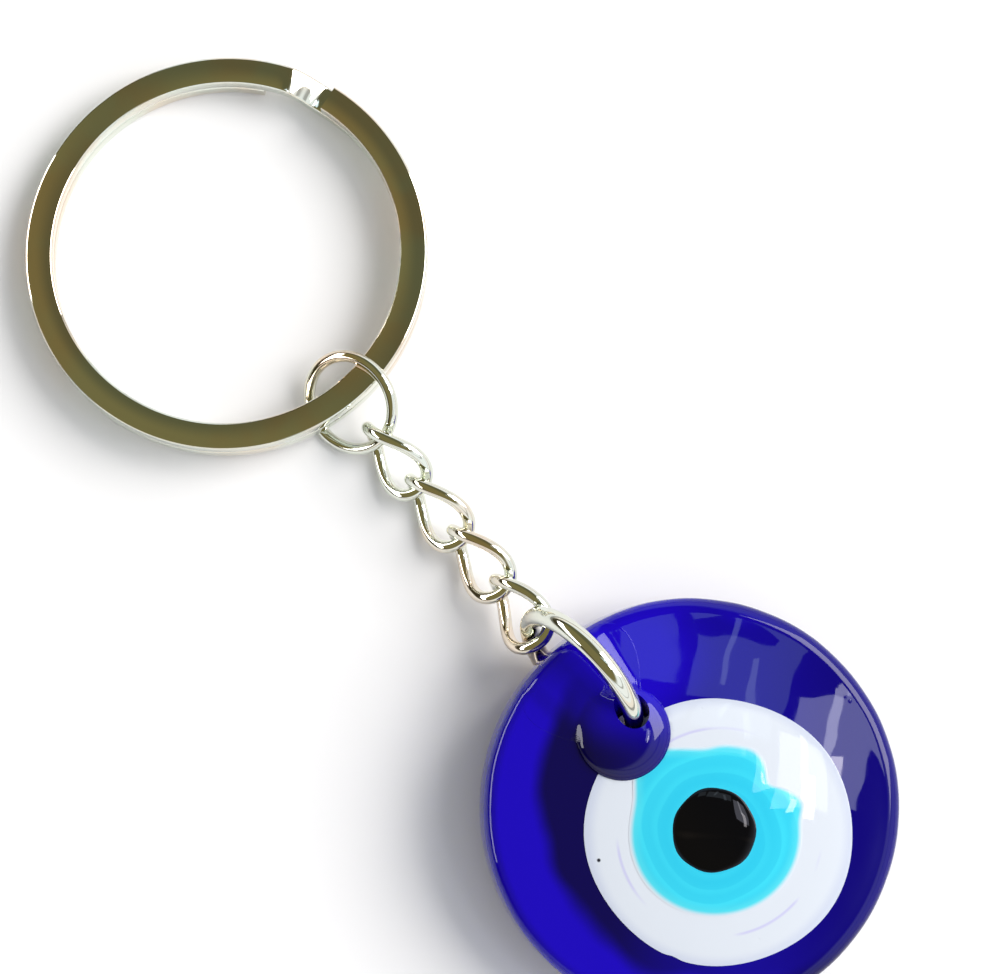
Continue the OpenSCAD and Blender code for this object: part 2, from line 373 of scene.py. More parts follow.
RING_PLATE = plated("split ring plate", (0.74, 0.72, 0.67, 1), 0.5, 1.0, 0.08)
WIRE_PLATE = plated("wire plate", (0.80, 0.77, 0.72, 1), 0.3, 0.3, 0.05)
print("plated finishes", RING_PLATE.name, WIRE_PLATE.name)

# %% [markdown]
# ## Split ring
# A real split ring is one flat wire wound twice. Two stacked rings would look alike from above,
# but they would have no free ends and no step. Here one bevelled section is spun along the
# lower turn, lifted through a short ramp, and spun on along the upper turn, so the ends and the
# step come out by themselves. Angles run round the ring from the side of the chain.

# %% Split ring
RING_RADIUS, RING_WIDTH = 15.0, 2.0
TURN_HEIGHT, TURN_STEP = 1.36, 1.42
RING_EDGE, EDGE_ROUNDS = 0.2, 5
RING_TILT = math.radians(2.7)
LOW_END = 129.0
RAMP_FROM, RAMP_TO = 109.0, 123.0
TOP_SWEEP = 345.0
LOW_STEPS, RAMP_STEPS, TOP_STEPS = 170, 12, 172
RING_SHARP = 12


def coil(bm, geom, degrees, steps, rise=0.0):
    """Spins the last section on round the ring's axis and gives the new last section."""
    made = bmesh.ops.spin(bm, geom=geom, cent=(0, 0, 0), axis=(0, 0, 1),
                          dvec=(0, 0, rise / steps), angle=math.radians(degrees), steps=steps)
    return made["geom_last"]


bm = bmesh.new()
corners = [bm.verts.new((x, 0, z)) for x, z in (
    (RING_RADIUS - RING_WIDTH, 0), (RING_RADIUS, 0),
    (RING_RADIUS, TURN_HEIGHT), (RING_RADIUS - RING_WIDTH, TURN_HEIGHT))]
bm.faces.new(corners)
bmesh.ops.bevel(bm, geom=corners, offset=RING_EDGE, affect="VERTICES", segments=EDGE_ROUNDS,
                profile=0.5, material=-1)
bmesh.ops.rotate(bm, verts=bm.verts, matrix=Matrix.Rotation(math.radians(LOW_END), 3, "Z"))
section = bm.verts[:] + bm.edges[:] + bm.faces[:]
section = coil(bm, section, 360 + RAMP_FROM - LOW_END, LOW_STEPS)
lift = [0.5 - 0.5 * math.cos(math.pi * i / RAMP_STEPS) for i in range(RAMP_STEPS + 1)]
for before, after in zip(lift, lift[1:]):
    rise = (after - before) * TURN_STEP
    section = coil(bm, section, (RAMP_TO - RAMP_FROM) / RAMP_STEPS, 1, rise)
coil(bm, section, TOP_SWEEP, TOP_STEPS)
bmesh.ops.recalc_face_normals(bm, faces=bm.faces)
ring_centre = JOINT["small_ring"]
ring_place = Matrix.Translation(ring_centre) @ Matrix.Rotation(-RING_TILT, 4, "Y")
bmesh.ops.transform(bm, matrix=ring_place, verts=bm.verts)
piece("split_ring_wire", bm, RING_PLATE, "split_ring", "split_ring", RING_SHARP)

# %% [markdown]
# ## Jump rings
# A jump ring is round wire bent until its cut ends meet. A torus would be quicker, but it has no
# ends. A circle spun almost all the way round keeps the real gap, which is turned to where
# it hardly shows. The small one leans on the split ring, and the large one stands nearly upright,
# through the hole of the glass and round its rim.

# %% Jump rings
CLOSED_SWEEP = 357.0
WIRE_SIDES = 48
STEP_DEGREES = 2


def spun_wire(radius, wire, start, sweep, place):
    """Round wire spun from one angle through a sweep, closed at both ends, then put in place."""
    bm = bmesh.new()
    section = Matrix.Translation((radius, 0, 0)) @ Matrix.Rotation(math.pi / 2, 4, "X")
    bmesh.ops.create_circle(bm, cap_ends=True, radius=wire / 2, segments=WIRE_SIDES, matrix=section)
    bmesh.ops.rotate(bm, verts=bm.verts, matrix=Matrix.Rotation(math.radians(start), 3, "Z"))
    bmesh.ops.spin(bm, geom=bm.verts[:] + bm.edges[:] + bm.faces[:], cent=(0, 0, 0),
                   axis=(0, 0, 1), angle=math.radians(sweep), steps=round(sweep / STEP_DEGREES))
    bmesh.ops.recalc_face_normals(bm, faces=bm.faces)
    bmesh.ops.transform(bm, matrix=place, verts=bm.verts)
    return bm


SMALL_RADIUS, SMALL_WIRE, SMALL_ROLL = 3.6, 0.88, math.radians(40)
SMALL_FROM_RING, SMALL_CUT = 14.5, 256
small_z = SMALL_RADIUS * math.sin(SMALL_ROLL) + SMALL_WIRE / 2
small_centre = Matrix.Translation((ring_centre.x + SMALL_FROM_RING, 0, small_z))
small_place = small_centre @ Matrix.Rotation(SMALL_ROLL, 4, "X")
bm = spun_wire(SMALL_RADIUS, SMALL_WIRE, SMALL_CUT, CLOSED_SWEEP, small_place)
piece("small_jump_ring_wire", bm, WIRE_PLATE, "small_ring", "small_jump_ring")

LARGE_RADIUS, LARGE_WIRE, LARGE_CUT = 5.4, 1.5, 292
LARGE_LEAN, LARGE_YAW = math.radians(14), math.radians(2.4)
large_centre = JOINT["glass_eye"]
large_turn = Euler((math.pi / 2 - LARGE_LEAN, 0, LARGE_YAW)).to_matrix().to_4x4()
large_place = Matrix.Translation(large_centre) @ large_turn
bm = spun_wire(LARGE_RADIUS, LARGE_WIRE, LARGE_CUT, CLOSED_SWEEP, large_place)
piece("large_jump_ring_wire", bm, WIRE_PLATE, "large_ring", "large_jump_ring")

# %% [markdown]
# ## Curb links
# Each link is an oval of wire twisted most of a quarter turn, so every link lies over the next
# at the same slant. A spin can't follow a line that leaves its plane. A closed curve with a
# round bevel can, so the link is drawn as a curve and then made a mesh. Each link hangs from
# the inside of the one before, with a little play.

# %% Curb links
LINK_WIRE = 0.95
LINK_HALF_LENGTH, LINK_HALF_WIDTH, LINK_FLARE = 3.0, 2.15, 0.1
TWIST_MEAN, TWIST_HALF = math.radians(45), math.radians(38)
LINK_PLAY, HEAD_PLAY = 0.08, 0.42
LINK_TURNS = ((16, 2.8, 0), (13, -2, -0.5), (11, -8, -1), (7.5, -18, -5))
LINK_POINTS, LINK_ROUNDNESS, LINK_SHARP = 144, 10, 60


def curb_link(place):
    """The wire of one link as a mesh, in millimetres."""
    curve = bpy.data.curves.new("link", "CURVE")
    curve.dimensions = "3D"
    curve.bevel_depth = LINK_WIRE / 2
    curve.bevel_resolution = LINK_ROUNDNESS
    curve.twist_mode = "MINIMUM"
    spline = curve.splines.new("POLY")
    spline.points.add(LINK_POINTS - 1)
    spline.use_cyclic_u = True
    for index, point in enumerate(spline.points):
        t = 2 * math.pi * index / LINK_POINTS
        slant = TWIST_MEAN - TWIST_HALF * math.cos(t)
        across = LINK_HALF_WIDTH * math.sin(t) * (1 + LINK_FLARE * math.cos(t))
        spot = place @ Vector((LINK_HALF_LENGTH * math.cos(t), across * math.cos(slant),
                               across * math.sin(slant)))
        point.co = (*spot, 1)
    swept = bpy.data.objects.new("link", curve)
    bm = bmesh.new()
    bm.from_mesh(swept.to_mesh())
    swept.to_mesh_clear()
    bpy.data.objects.remove(swept)
    bpy.data.curves.remove(curve)
    bmesh.ops.remove_doubles(bm, verts=bm.verts, dist=SAME_SPOT)
    bmesh.ops.recalc_face_normals(bm, faces=bm.faces)
    return bm


hold = JOINT["link_1"]
reach = SMALL_WIRE / 2 + LINK_WIRE / 2 + HEAD_PLAY
for number, turn in enumerate(LINK_TURNS, start=1):
    rotation = Euler([math.radians(angle) for angle in turn]).to_matrix().to_4x4()
    heading = rotation.to_3x3() @ Vector((1, 0, 0))
    middle_point = hold - heading * reach + heading * LINK_HALF_LENGTH
    bm = curb_link(Matrix.Translation(middle_point) @ rotation)
    piece(f"curb_link_{number}", bm, WIRE_PLATE, f"link_{number}", f"chain_link_{number}",
          LINK_SHARP)
    hold = middle_point + heading * LINK_HALF_LENGTH
    reach = LINK_WIRE + LINK_PLAY

# %% [markdown]
# ## The glass
# The disc was poured flat and is a little domed and wavy. It lies tilted, its hanging side lifted
# by the large jump ring. Each glass piece could be built where it lies, but a tilted dome is
# awkward to measure on. So all are shaped in the disc's own frame, u and v across and w up, in
# millimetres from the middle of its back, and one matrix puts them in place.

# %% Glass frame and surface
GLASS_RADIUS = 15.3
GLASS_HEIGHT = 5.4
DOME_RADIUS = 145.0
LOW_EDGE, TOP_EDGE = 0.9, 1.1
GLASS_TILT = math.radians(7.5)
HOLE_U = 7.2
HOLE_MIDDLE = 3.1
glass_z = (GLASS_RADIUS - LOW_EDGE) * math.sin(GLASS_TILT) + LOW_EDGE * (1 - math.cos(GLASS_TILT))
glass_x = (large_centre.x + LARGE_RADIUS + HOLE_U * math.cos(GLASS_TILT)
           - HOLE_MIDDLE * math.sin(GLASS_TILT))
hole_v = large_centre.y + LARGE_RADIUS * math.sin(LARGE_YAW)
LOBE_FROM_HOLE = (-0.4, -0.8)
lobe_u, lobe_v = LOBE_FROM_HOLE[0] - HOLE_U, LOBE_FROM_HOLE[1] + hole_v
GLASS_PLACE = Matrix.Translation((glass_x, 0, glass_z)) @ Matrix.Rotation(GLASS_TILT, 4, "Y")
FLAT_RADIUS = GLASS_RADIUS - TOP_EDGE


def dome(distance):
    """Height of the smooth dome at a distance from the disc's axis."""
    return GLASS_HEIGHT - DOME_RADIUS + math.sqrt(DOME_RADIUS ** 2 - distance ** 2)


def disc_top(u, v):
    """Height of the disc's upper face, its rounded edge included."""
    distance = math.hypot(u, v)
    if distance <= FLAT_RADIUS:
        return dome(distance)
    over = min(distance - FLAT_RADIUS, TOP_EDGE)
    return dome(FLAT_RADIUS) - TOP_EDGE + math.sqrt(TOP_EDGE ** 2 - over ** 2)


def smooth(value, low, high):
    """0 below low, 1 above high, smooth between."""
    t = min(max((value - low) / (high - low), 0.0), 1.0)
    return t * t * (3 - 2 * t)


print("glass sits at", tuple(round(c, 2) for c in GLASS_PLACE.translation), "mm")

# %% [markdown]
# ## The hole
# The glass swings on the large ring, so its hole has to let a curved wire pass. A straight hole
# would need to be far too wide. The cutter is a fat stretch of the ring's own circle, so the
# hole bends as the wire does and leaves the same play all round. It is cut once the glass is
# in place, with a Boolean.

# %% Hole
HOLE_RADIUS = 1.2
HOLE_FROM, HOLE_SWEEP = -90.0, 150.0


def cut_hole(bm):
    """Cuts the curved hole out of a closed bmesh that is already in place."""
    cutter = spun_wire(LARGE_RADIUS, 2 * HOLE_RADIUS, HOLE_FROM, HOLE_SWEEP, large_place)
    pair = []
    for made in (bm, cutter):
        mesh = bpy.data.meshes.new("cutting")
        made.to_mesh(mesh)
        made.free()
        pair.append(bpy.data.objects.new("cutting", mesh))
        scene.collection.objects.link(pair[-1])
    target, tool = pair
    modifier = target.modifiers.new("hole", "BOOLEAN")
    modifier.operation = "DIFFERENCE"
    modifier.object = tool
    modifier.solver = "EXACT"
    depsgraph = bpy.context.evaluated_depsgraph_get()
    result = bmesh.new()
    result.from_mesh(target.evaluated_get(depsgraph).to_mesh())
    target.evaluated_get(depsgraph).to_mesh_clear()
    for obj in pair:
        mesh = obj.data
        bpy.data.objects.remove(obj)
        bpy.data.meshes.remove(mesh)
    return result


print("hole", HOLE_RADIUS * 2, "mm across")

# %% [markdown]
# ## Glass finishes
# Poured glass is glossy but never flat: slow waves bend every reflection, and there are a few
# pin bubbles. That relief is one shared group. Real transparency would be slow and noisy, and
# this glass is nearly opaque, so its depth is a matter of colour alone, and in the cobalt the
# light and shade inside it are painted into that colour.

# %% Poured glass group
GLASS_ROUGH, BUBBLE_ROUGH, BUBBLE_DEPTH = 0.04, 0.3, 0.12
poured, poured_in, poured_out = group(
    "poured glass",
    [("Waves", "NodeSocketFloat"), ("Bubbles", "NodeSocketFloat")],
    [("Height", "NodeSocketFloat"), ("Roughness", "NodeSocketFloat"), ("Cloud", "NodeSocketFloat")])
place = add(poured, "ShaderNodeTexCoord")
slow = add(poured, "ShaderNodeTexNoise", values={"Scale": 170.0, "Detail": 1.0, "Roughness": 0.4})
fine = add(poured, "ShaderNodeTexNoise", values={"Scale": 900.0, "Detail": 2.0})
seeds = add(poured, "ShaderNodeTexVoronoi", values={"Scale": 420.0})
for texture in (slow, fine, seeds):
    poured.links.new(place.outputs["Object"], texture.inputs["Vector"])
cloud = slow.outputs["Fac"]
bubble = flip(poured, fade(poured, seeds.outputs["Distance"], 0.03, 0.07))
bubble = both(poured, bubble, fade(poured, cloud, 0.58, 0.66))
bubble = both(poured, bubble, poured_in.outputs["Bubbles"])
level = both(poured, cloud, poured_in.outputs["Waves"])
level = maths(poured, "SUBTRACT", level, both(poured, bubble, BUBBLE_DEPTH))
gloss = maths(poured, "ADD", both(poured, fine.outputs["Fac"], GLASS_ROUGH),
              both(poured, bubble, BUBBLE_ROUGH))
for result, socket in ((level, "Height"), (cloud, "Cloud"), (gloss, "Roughness")):
    poured.links.new(result, poured_out.inputs[socket])
print("poured glass group", len(poured.nodes), "nodes")

# %% Glass material helper
GLASS_IOR, PUPIL_IOR = 1.38, 1.26
RELIEF_STRENGTH, RELIEF_DEPTH = 0.35, 0.0004


def glass_finish(name, waves, bubbles, ior=GLASS_IOR):
    """A glossy glass with the shared relief; its colour is wired by the caller."""
    material = bpy.data.materials.new(name)
    material.use_nodes = True
    tree = material.node_tree
    shader = tree.nodes["Principled BSDF"]
    shader.inputs["IOR"].default_value = ior
    relief = add(tree, "ShaderNodeGroup", node_tree=poured,
                 values={"Waves": waves, "Bubbles": bubbles})
    bumped = add(tree, "ShaderNodeBump",
                 values={"Strength": RELIEF_STRENGTH, "Distance": RELIEF_DEPTH})
    tree.links.new(relief.outputs["Height"], bumped.inputs["Height"])
    tree.links.new(bumped.outputs["Normal"], shader.inputs["Normal"])
    tree.links.new(relief.outputs["Roughness"], shader.inputs["Roughness"])
    return material, tree, shader.inputs["Base Color"], relief.outputs["Cloud"]


def disc_coordinates(tree):
    """Sockets for u and v on the disc, in millimetres, from object coordinates."""
    source = add(tree, "ShaderNodeTexCoord")
    local = add(tree, "ShaderNodeMapping", vector_type="TEXTURE")
    local.inputs["Location"].default_value = GLASS_PLACE.translation * MM
    local.inputs["Rotation"].default_value = (0, GLASS_TILT, 0)
    apart = add(tree, "ShaderNodeSeparateXYZ")
    tree.links.new(source.outputs["Object"], local.inputs["Vector"])
    tree.links.new(local.outputs["Vector"], apart.inputs[0])
    return [both(tree, apart.outputs[axis], 1 / MM) for axis in ("X", "Y")]


def distance_from(tree, uv, middle):
    """Distance in millimetres from a point of the disc, and its two parts."""
    du, dv = (maths(tree, "SUBTRACT", socket, start) for socket, start in zip(uv, middle))
    squares = maths(tree, "ADD", both(tree, du, du), both(tree, dv, dv))
    return maths(tree, "SQRT", squares), du, dv


print("glass helpers ready")

# %% [markdown]
# ## Cobalt
# Cobalt glass looks almost black where little light gets in and glows blue where light leaks
# through: along the thin rim, and in the neck that the ring hangs from. Here that light and shade
# are painted into the colour, as a single blue would look like paint. The painted glow is set by
# the distance from two points of the disc, and the painted shade by how far a spot lies from the
# window. The clouds of the relief make every border wander.

# %% Cobalt
# Painted light and shade: the darkest blue is painted shade away from the window and on the rim near it,
# the third is painted shade toward the window, and the last is a painted glow of light leaking through the
# glass.
PAINTED_SHADE_BLUE = (0.0015, 0.0, 0.065, 1)
COBALT = (0.0042, 0.0, 0.25, 1)
WINDOW_SIDE_SHADE_BLUE = (0.0028, 0.0, 0.15, 1)
PAINTED_GLOW_BLUE = (0.0085, 0.0, 0.44, 1)
RIM_MIDDLE, RIM_GLOW, RIM_SHADE = (0.8, 2.1), (12.6, 14.0), (13.0, 14.6)
NECK_MIDDLE, NECK_GLOW = (-11.5, 3.2), (2.5, 7.5)
FROM_WINDOW = (-0.62, -0.78)
WINDOW_SIDE, PAINTED_SHADE_SIDE, WINDOW_SHADE_REACH = (-9.0, 5.0), (-3.0, 7.0), (-12.0, -2.0)
WANDER = 3.0
COBALT_GLASS, tree, colour, cloud = glass_finish("cobalt glass", 0.08, 1.0)
uv = disc_coordinates(tree)
wobble = both(tree, maths(tree, "SUBTRACT", cloud, 0.5), WANDER)
side = maths(tree, "ADD", *(both(tree, socket, share) for socket, share in zip(uv, FROM_WINDOW)))
away = fade(tree, side, *WINDOW_SIDE)
from_rim_middle, _, _ = distance_from(tree, uv, RIM_MIDDLE)
rim_glow = both(tree, fade(tree, maths(tree, "ADD", from_rim_middle, wobble), *RIM_GLOW), away)
rim_shade = both(tree, fade(tree, from_rim_middle, *RIM_SHADE), flip(tree, away))
from_neck, _, _ = distance_from(tree, uv, NECK_MIDDLE)
# The painted shade and glow are laid on in turn: shade toward the window, shade away from it, glow in the
# neck, glow along the far rim, and shade along the near rim.
cobalt = blend(tree, fade(tree, side, *WINDOW_SHADE_REACH), WINDOW_SIDE_SHADE_BLUE, COBALT)
cobalt = blend(tree, fade(tree, maths(tree, "ADD", side, wobble), *PAINTED_SHADE_SIDE), cobalt, PAINTED_SHADE_BLUE)
cobalt = blend(tree, flip(tree, fade(tree, from_neck, *NECK_GLOW)), cobalt, PAINTED_GLOW_BLUE)
cobalt = blend(tree, rim_glow, cobalt, PAINTED_GLOW_BLUE)
cobalt = blend(tree, rim_shade, cobalt, PAINTED_SHADE_BLUE)
tree.links.new(cobalt, colour)
print("cobalt glass ready")

# %% [markdown]
# ## Glass of the eye
# The white has a thin violet line where a thread of cobalt was dragged round, a greyer edge and
# one black speck. The light blue was wound on, so fine threads spiral out from its middle, and
# its edge runs softly into the white. Rings of colour would do from afar, but they look printed.
# An edge attribute on the mesh says how near the outline a spot is, whatever its shape.

# %% White glass
WHITE_MIDDLE, WHITE_RADIUS = (2.4, 0.33), 9.75
EDGE = "edge"
MILK = (0.64, 0.69, 0.76, 1)
MILK_SHADE, SHADE_FROM, SHADE_SHARE = (0.44, 0.49, 0.66, 1), (8.8, 9.7), 0.45
VIOLET, VIOLET_LINE, VIOLET_SHARE = (0.42, 0.38, 0.75, 1), (7.35, 7.5, 7.7), 0.5
SPECK_MIDDLE, SPECK_EDGE, SPECK = (-1.65, -7.76), (0.08, 0.18), (0.02, 0.02, 0.03, 1)
WHITE_GLASS, tree, colour, cloud = glass_finish("opaque white glass", 0.08, 0.6)
uv = disc_coordinates(tree)
from_middle, _, _ = distance_from(tree, uv, WHITE_MIDDLE)
inside, on_line, outside = VIOLET_LINE
line = both(tree, fade(tree, from_middle, inside, on_line),
            flip(tree, fade(tree, from_middle, on_line, outside)))
line = both(tree, line, fade(tree, cloud, 0.45, 0.6))
from_speck, _, _ = distance_from(tree, uv, SPECK_MIDDLE)
milk = blend(tree, both(tree, fade(tree, from_middle, *SHADE_FROM), SHADE_SHARE), MILK, MILK_SHADE)
milk = blend(tree, both(tree, line, VIOLET_SHARE), milk, VIOLET)
milk = blend(tree, flip(tree, fade(tree, from_speck, *SPECK_EDGE)), milk, SPECK)
tree.links.new(milk, colour)
print("white glass ready")

# %% Light blue glass
IRIS_MIDDLE, IRIS_RADIUS = (2.1, 0.15), 6.35
AQUA = (0.045, 0.62, 0.79, 1)
AQUA_DEEP = (0.018, 0.47, 0.70, 1)
AQUA_PALE = (0.12, 0.70, 0.76, 1)
THREADS_PER_MM, THREAD_WANDER, THREAD_SHARE = 0.9, 1.1, 0.4
INNER_EDGE, INNER_SHARE = (3.4, 5.4), 0.45
PALE_EDGE, PALE_SHARE, MILKY_EDGE = (0.83, 0.96), 0.5, (0.93, 1.0)
IRIS_GLASS, tree, colour, cloud = glass_finish("light blue glass", 0.12, 0.4)
from_middle, du, dv = distance_from(tree, disc_coordinates(tree), IRIS_MIDDLE)
turns = maths(tree, "DIVIDE", maths(tree, "ARCTAN2", dv, du), 2 * math.pi)
swirl = maths(tree, "ADD", both(tree, from_middle, THREADS_PER_MM), turns)
swirl = maths(tree, "ADD", swirl, both(tree, cloud, THREAD_WANDER))
swirl = maths(tree, "FRACT", swirl)
threads = both(tree, fade(tree, swirl, 0.0, 0.5), flip(tree, fade(tree, swirl, 0.9, 1.0)))
inner = flip(tree, fade(tree, from_middle, *INNER_EDGE))
near_edge = add(tree, "ShaderNodeAttribute", attribute_name=EDGE).outputs["Fac"]
aqua = blend(tree, both(tree, threads, THREAD_SHARE), AQUA, AQUA_DEEP)
aqua = blend(tree, both(tree, inner, INNER_SHARE), aqua, AQUA_DEEP)
aqua = blend(tree, both(tree, fade(tree, near_edge, *PALE_EDGE), PALE_SHARE), aqua, AQUA_PALE)
aqua = blend(tree, fade(tree, near_edge, *MILKY_EDGE), aqua, MILK)
tree.links.new(aqua, colour)
print("light blue glass ready")

# %% Black glass
PUPIL_MIDDLE, PUPIL_RADIUS = (2.0, 0.05), 3.1
BLACK, BROWNISH_BLACK = (0.002, 0.002, 0.003, 1), (0.045, 0.036, 0.028, 1)
BLUE_BLACK, BLUE_EDGE = (0.012, 0.02, 0.03, 1), (2.85, 3.1)
PUPIL_GLASS, tree, colour, cloud = glass_finish("black glass", 0.2, 0.3, PUPIL_IOR)
from_middle, du, dv = distance_from(tree, disc_coordinates(tree), PUPIL_MIDDLE)
# The black turns brownish in cloud shapes on one side of the dot.
lower_side = fade(tree, maths(tree, "SUBTRACT", du, dv), 0.2, 1.6)
black = blend(tree, both(tree, fade(tree, cloud, 0.46, 0.58), lower_side), BLACK, BROWNISH_BLACK)
black = blend(tree, fade(tree, from_middle, *BLUE_EDGE), black, BLUE_BLACK)
tree.links.new(black, colour)
print("black glass ready")

# %% [markdown]
# ## Cobalt disc
# The disc is a turned shape. A cylinder would do for its sides, but its face is domed, so half
# its outline is drawn with a few points, its corners are rounded with bevels, and it is spun
# round. Slow waves then move its skin, and the hole is cut.

# %% Cobalt disc
LOW_ROUNDS, TOP_ROUNDS, FACE_CUTS, TURN_STEPS = 8, 10, 28, 192
WAVE, WAVE_LEVEL, SHRINK = 0.015, 0.6, 0.004
SLOW_WAVE, QUICK_WAVE, QUICK_SHARE = 0.16, 0.45, 0.4
GLASS_SHARP = 50
bm = bmesh.new()
outline = [bm.verts.new((x, 0, z)) for x, z in (
    (0, 0), (GLASS_RADIUS, 0), (GLASS_RADIUS, dome(FLAT_RADIUS)), (0, dome(FLAT_RADIUS)))]
for ends in zip(outline, outline[1:]):
    bm.edges.new(ends)
bmesh.ops.bevel(bm, geom=[outline[1]], offset=LOW_EDGE, affect="VERTICES", segments=LOW_ROUNDS,
                profile=0.5, material=-1)
top = [v for v in bm.verts if v.co.x > GLASS_RADIUS - SAME_SPOT and v.co.z > GLASS_HEIGHT / 2]
bmesh.ops.bevel(bm, geom=top, offset=TOP_EDGE, affect="VERTICES", segments=TOP_ROUNDS,
                profile=0.5, material=-1)
flats = [e for e in bm.edges if e.calc_length() > GLASS_RADIUS / 2]
bmesh.ops.subdivide_edges(bm, edges=flats, cuts=FACE_CUTS)
for vert in bm.verts:
    if vert.co.z > dome(FLAT_RADIUS) - SAME_SPOT:
        vert.co.z = dome(min(vert.co.x, FLAT_RADIUS))
bmesh.ops.spin(bm, geom=bm.verts[:] + bm.edges[:], cent=(0, 0, 0), axis=(0, 0, 1),
               angle=2 * math.pi, steps=TURN_STEPS, use_merge=True)
bmesh.ops.remove_doubles(bm, verts=bm.verts, dist=SAME_SPOT)
bmesh.ops.recalc_face_normals(bm, faces=bm.faces)
for vert in bm.verts:
    if vert.co.z > LOW_EDGE:
        lift = noise.noise(vert.co * SLOW_WAVE) + QUICK_SHARE * noise.noise(vert.co * QUICK_WAVE)
        outward = smooth(math.hypot(vert.co.x, vert.co.y), FLAT_RADIUS - 1, GLASS_RADIUS)
        vert.co.z += WAVE * (lift - WAVE_LEVEL) * (1 - outward)
        vert.co.xy *= 1 - SHRINK * outward * (0.5 + lift)
bmesh.ops.transform(bm, matrix=GLASS_PLACE, verts=bm.verts)
bm = cut_hole(bm)
piece("cobalt_disc", bm, COBALT_GLASS, "glass_eye", "cobalt_base", GLASS_SHARP)

# %% [markdown]
# ## Sheets of glass
# The lobe and the layers of the eye are all gobs laid on the disc. A sculpted blob would be hard
# to fit to its face. Instead a flat round sheet is spun, its points are lifted by a height rule
# that starts from the disc's own surface, and a wall is let down to close it.

# %% Sheet helpers
def round_sheet(radius, cuts, steps):
    """A flat round sheet: a spoke cut into short edges and spun full circle."""
    bm = bmesh.new()
    spoke = bm.edges.new([bm.verts.new((0, 0, 0)), bm.verts.new((radius, 0, 0))])
    bmesh.ops.subdivide_edges(bm, edges=[spoke], cuts=cuts)
    bmesh.ops.spin(bm, geom=bm.verts[:] + bm.edges[:], cent=(0, 0, 0), axis=(0, 0, 1),
                   angle=2 * math.pi, steps=steps, use_merge=True)
    bmesh.ops.remove_doubles(bm, verts=bm.verts, dist=SAME_SPOT)
    return bm


def close_down(bm, floor, taper=1.0):
    """Closes a sheet with a wall down to a level floor, and puts it in place."""
    wall = bmesh.ops.extrude_edge_only(bm, edges=[e for e in bm.edges if e.is_boundary])
    for item in wall["geom"]:
        if isinstance(item, bmesh.types.BMVert):
            item.co.z = floor
            item.co.xy *= taper
    bmesh.ops.holes_fill(bm, edges=[e for e in bm.edges if e.is_boundary], sides=0)
    bmesh.ops.recalc_face_normals(bm, faces=bm.faces)
    bmesh.ops.transform(bm, matrix=GLASS_PLACE, verts=bm.verts)


print("sheet helpers ready")

# %% [markdown]
# ## Hanging lobe
# A second gob of cobalt is laid round the hole and drawn out to the rim, so the lobe stands
# proud with a round shoulder and its neck melts into the face. Two solids joined by a Boolean
# would leave a crease, so one sheet is drawn out to the rim and one height rule lifts it all.

# %% Hanging lobe
LOBE_RADIUS, LOBE_RISE, SHOULDER, ROUNDNESS = 3.5, 1.0, 3.5, 0.75
NECK_RISE, NECK_HALF, NECK_FLARE, NECK_SOFT, NECK_START = 0.42, 3.0, 0.13, 1.6, 2.5
LOBE_FLOOR, LOBE_TAPER, LOBE_SINK = 3.6, 0.985, 0.08
LOBE_CUTS, LOBE_CROWDING, RIM_REACH = 60, 1.6, 0.995


def lobe_rise(u, v):
    """How far the lobe and its neck stand over the disc."""
    du, dv = u - lobe_u, v - lobe_v
    near = math.hypot(du, dv) / LOBE_RADIUS
    knob = LOBE_RISE * max(1 - near ** SHOULDER, 0.0) ** ROUNDNESS
    half = NECK_HALF + NECK_FLARE * max(-du, 0.0)
    across = 1 - smooth(abs(dv), half - NECK_SOFT, half)
    neck = NECK_RISE * smooth(-du, 0.0, NECK_START) * across
    neck *= 1 - 0.5 * smooth(-u, FLAT_RADIUS - 1, GLASS_RADIUS)
    return math.hypot(knob, neck)


def distance_to_rim(angle):
    """How far the rim lies from the middle of the lobe in one direction."""
    along = lobe_u * math.cos(angle) + lobe_v * math.sin(angle)
    rim = GLASS_RADIUS * RIM_REACH
    return -along + math.sqrt(along ** 2 - (lobe_u ** 2 + lobe_v ** 2) + rim ** 2)


bm = round_sheet(LOBE_RADIUS, LOBE_CUTS, TURN_STEPS)
for vert in bm.verts:
    angle = math.atan2(vert.co.y, vert.co.x)
    share = 1 - max(1 - vert.co.xy.length / LOBE_RADIUS, 0.0) ** LOBE_CROWDING
    towards_rim = smooth(-math.cos(angle), 0.45, 0.9)
    full = LOBE_RADIUS + (distance_to_rim(angle) - LOBE_RADIUS) * towards_rim
    u, v = lobe_u + math.cos(angle) * full * share, lobe_v + math.sin(angle) * full * share
    vert.co = (u, v, disc_top(u, v) + lobe_rise(u, v) - LOBE_SINK * smooth(share, 0.97, 1.0))
close_down(bm, LOBE_FLOOR, LOBE_TAPER)
bm = cut_hole(bm)
piece("cobalt_lobe", bm, COBALT_GLASS, "glass_eye", "hanging_lobe", GLASS_SHARP)

# %% [markdown]
# ## The eye
# Each layer was dropped on hot, so its outline is a little uneven and its edge thins out. Plain
# discs would look machined. Every layer is a round sheet with its own outline rule and a low
# crown, tucked under the lobe where the lobe lies over it.

# %% Eye layers
LAYER_CUTS, LAYER_STEPS, LAYER_CROWDING = 40, 160, 1.35
TUCK, TUCK_FROM, TUCK_TO = 0.6, 0.7, 0.2
NICK, NICK_DEPTH, NICK_WIDTH = math.radians(-60), 0.12, 0.05
# corners of the light blue: degrees round, millimetres out, width in radians
IRIS_CORNERS = ((186, 1.5, 0.30), (116, 0.2, 0.15), (92, -1.0, 0.18), (68, 0.5, 0.14),
                (148, -0.3, 0.2))


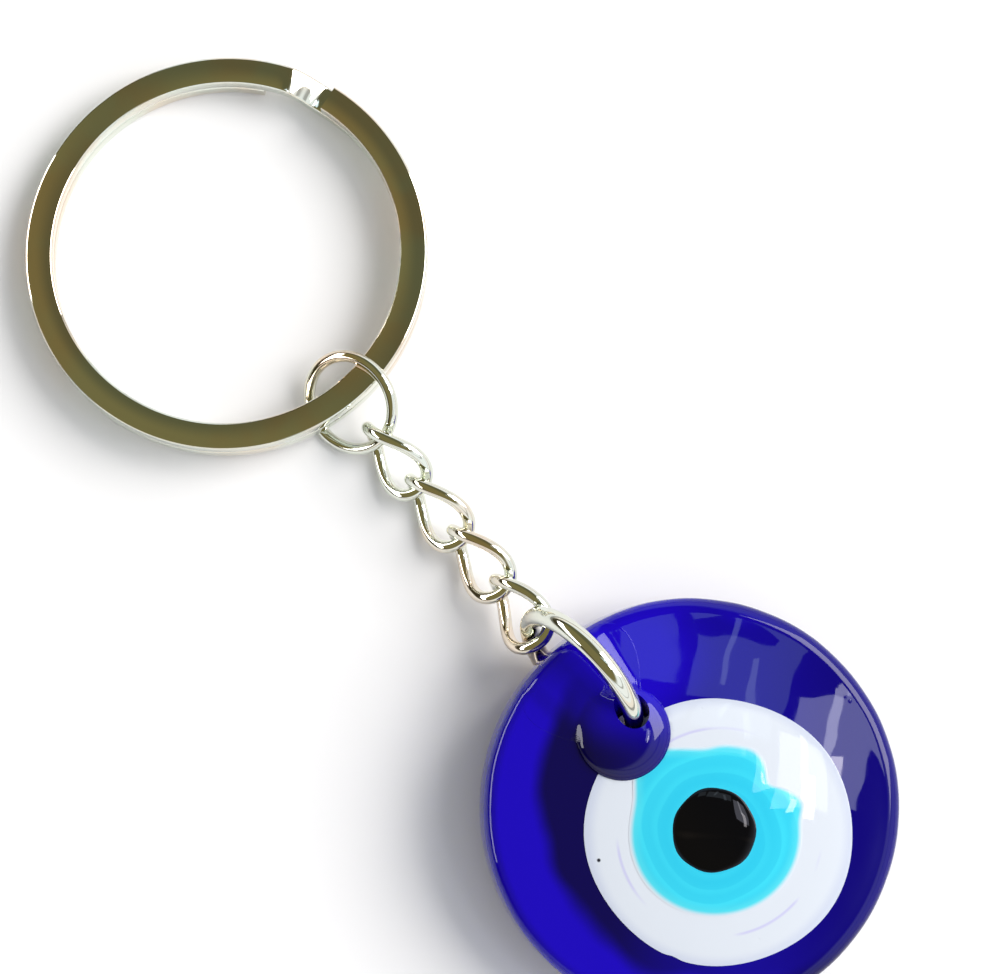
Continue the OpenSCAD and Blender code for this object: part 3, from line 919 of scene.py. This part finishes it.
def white_outline(angle):
    """Uneven edge of the white: slow waves, and a small nick."""
    slow = 0.12 * math.sin(2 * angle + 0.6) + 0.07 * math.sin(5 * angle)
    return slow - NICK_DEPTH * math.exp(-((angle - NICK) / NICK_WIDTH) ** 2)


def iris_outline(angle):
    """The light blue ran out into soft corners beside the lobe and across from it."""
    total = 0.08 * math.sin(3 * angle + 0.4)
    for at, amount, width in IRIS_CORNERS:
        away = (angle - math.radians(at) + math.pi) % (2 * math.pi) - math.pi
        total += amount * math.exp(-(away / width) ** 2)
    return total


def pupil_outline(angle):
    """The black dot is nearly round."""
    return 0.04 * math.sin(3 * angle) + 0.03 * math.sin(7 * angle + 1)


def eye_layer(middle, radius, crown, skin, outline, floor):
    """A closed layer of glass that follows the disc, with an uneven outline and a low crown."""
    bm = round_sheet(1, LAYER_CUTS, LAYER_STEPS)
    edge = bm.verts.layers.float.new(EDGE)
    for vert in bm.verts:
        angle = math.atan2(vert.co.y, vert.co.x)
        share = 1 - max(1 - vert.co.xy.length, 0.0) ** LAYER_CROWDING
        vert[edge] = share
        distance = share * (radius + outline(angle))
        u, v = middle[0] + distance * math.cos(angle), middle[1] + distance * math.sin(angle)
        from_lobe = math.hypot(u - lobe_u, v - lobe_v)
        under_lobe = 1 - smooth(from_lobe, LOBE_RADIUS - TUCK_FROM, LOBE_RADIUS - TUCK_TO)
        thickness = skin + crown * (1 - share ** 3) ** 0.7
        vert.co = (u, v, disc_top(u, v) + thickness - TUCK * under_lobe)
    close_down(bm, floor)
    return bm


# piece, node, slot and finish, then middle, radius, crown, skin, outline and floor
LAYERS = (
    ("white_layer_glass", "white_layer", "white_glass", WHITE_GLASS,
     WHITE_MIDDLE, WHITE_RADIUS, 0.12, 0.02, white_outline, 4.2),
    ("iris_layer_glass", "iris_layer", "iris_glass", IRIS_GLASS,
     IRIS_MIDDLE, IRIS_RADIUS, 0.08, 0.13, iris_outline, 4.6),
    ("pupil_glass_dot", "pupil_dot", "pupil_glass", PUPIL_GLASS,
     PUPIL_MIDDLE, PUPIL_RADIUS, 0.14, 0.19, pupil_outline, 4.9))
for name, node, slot, finish, *shape in LAYERS:
    piece(name, eye_layer(*shape), finish, "glass_eye", node, GLASS_SHARP)
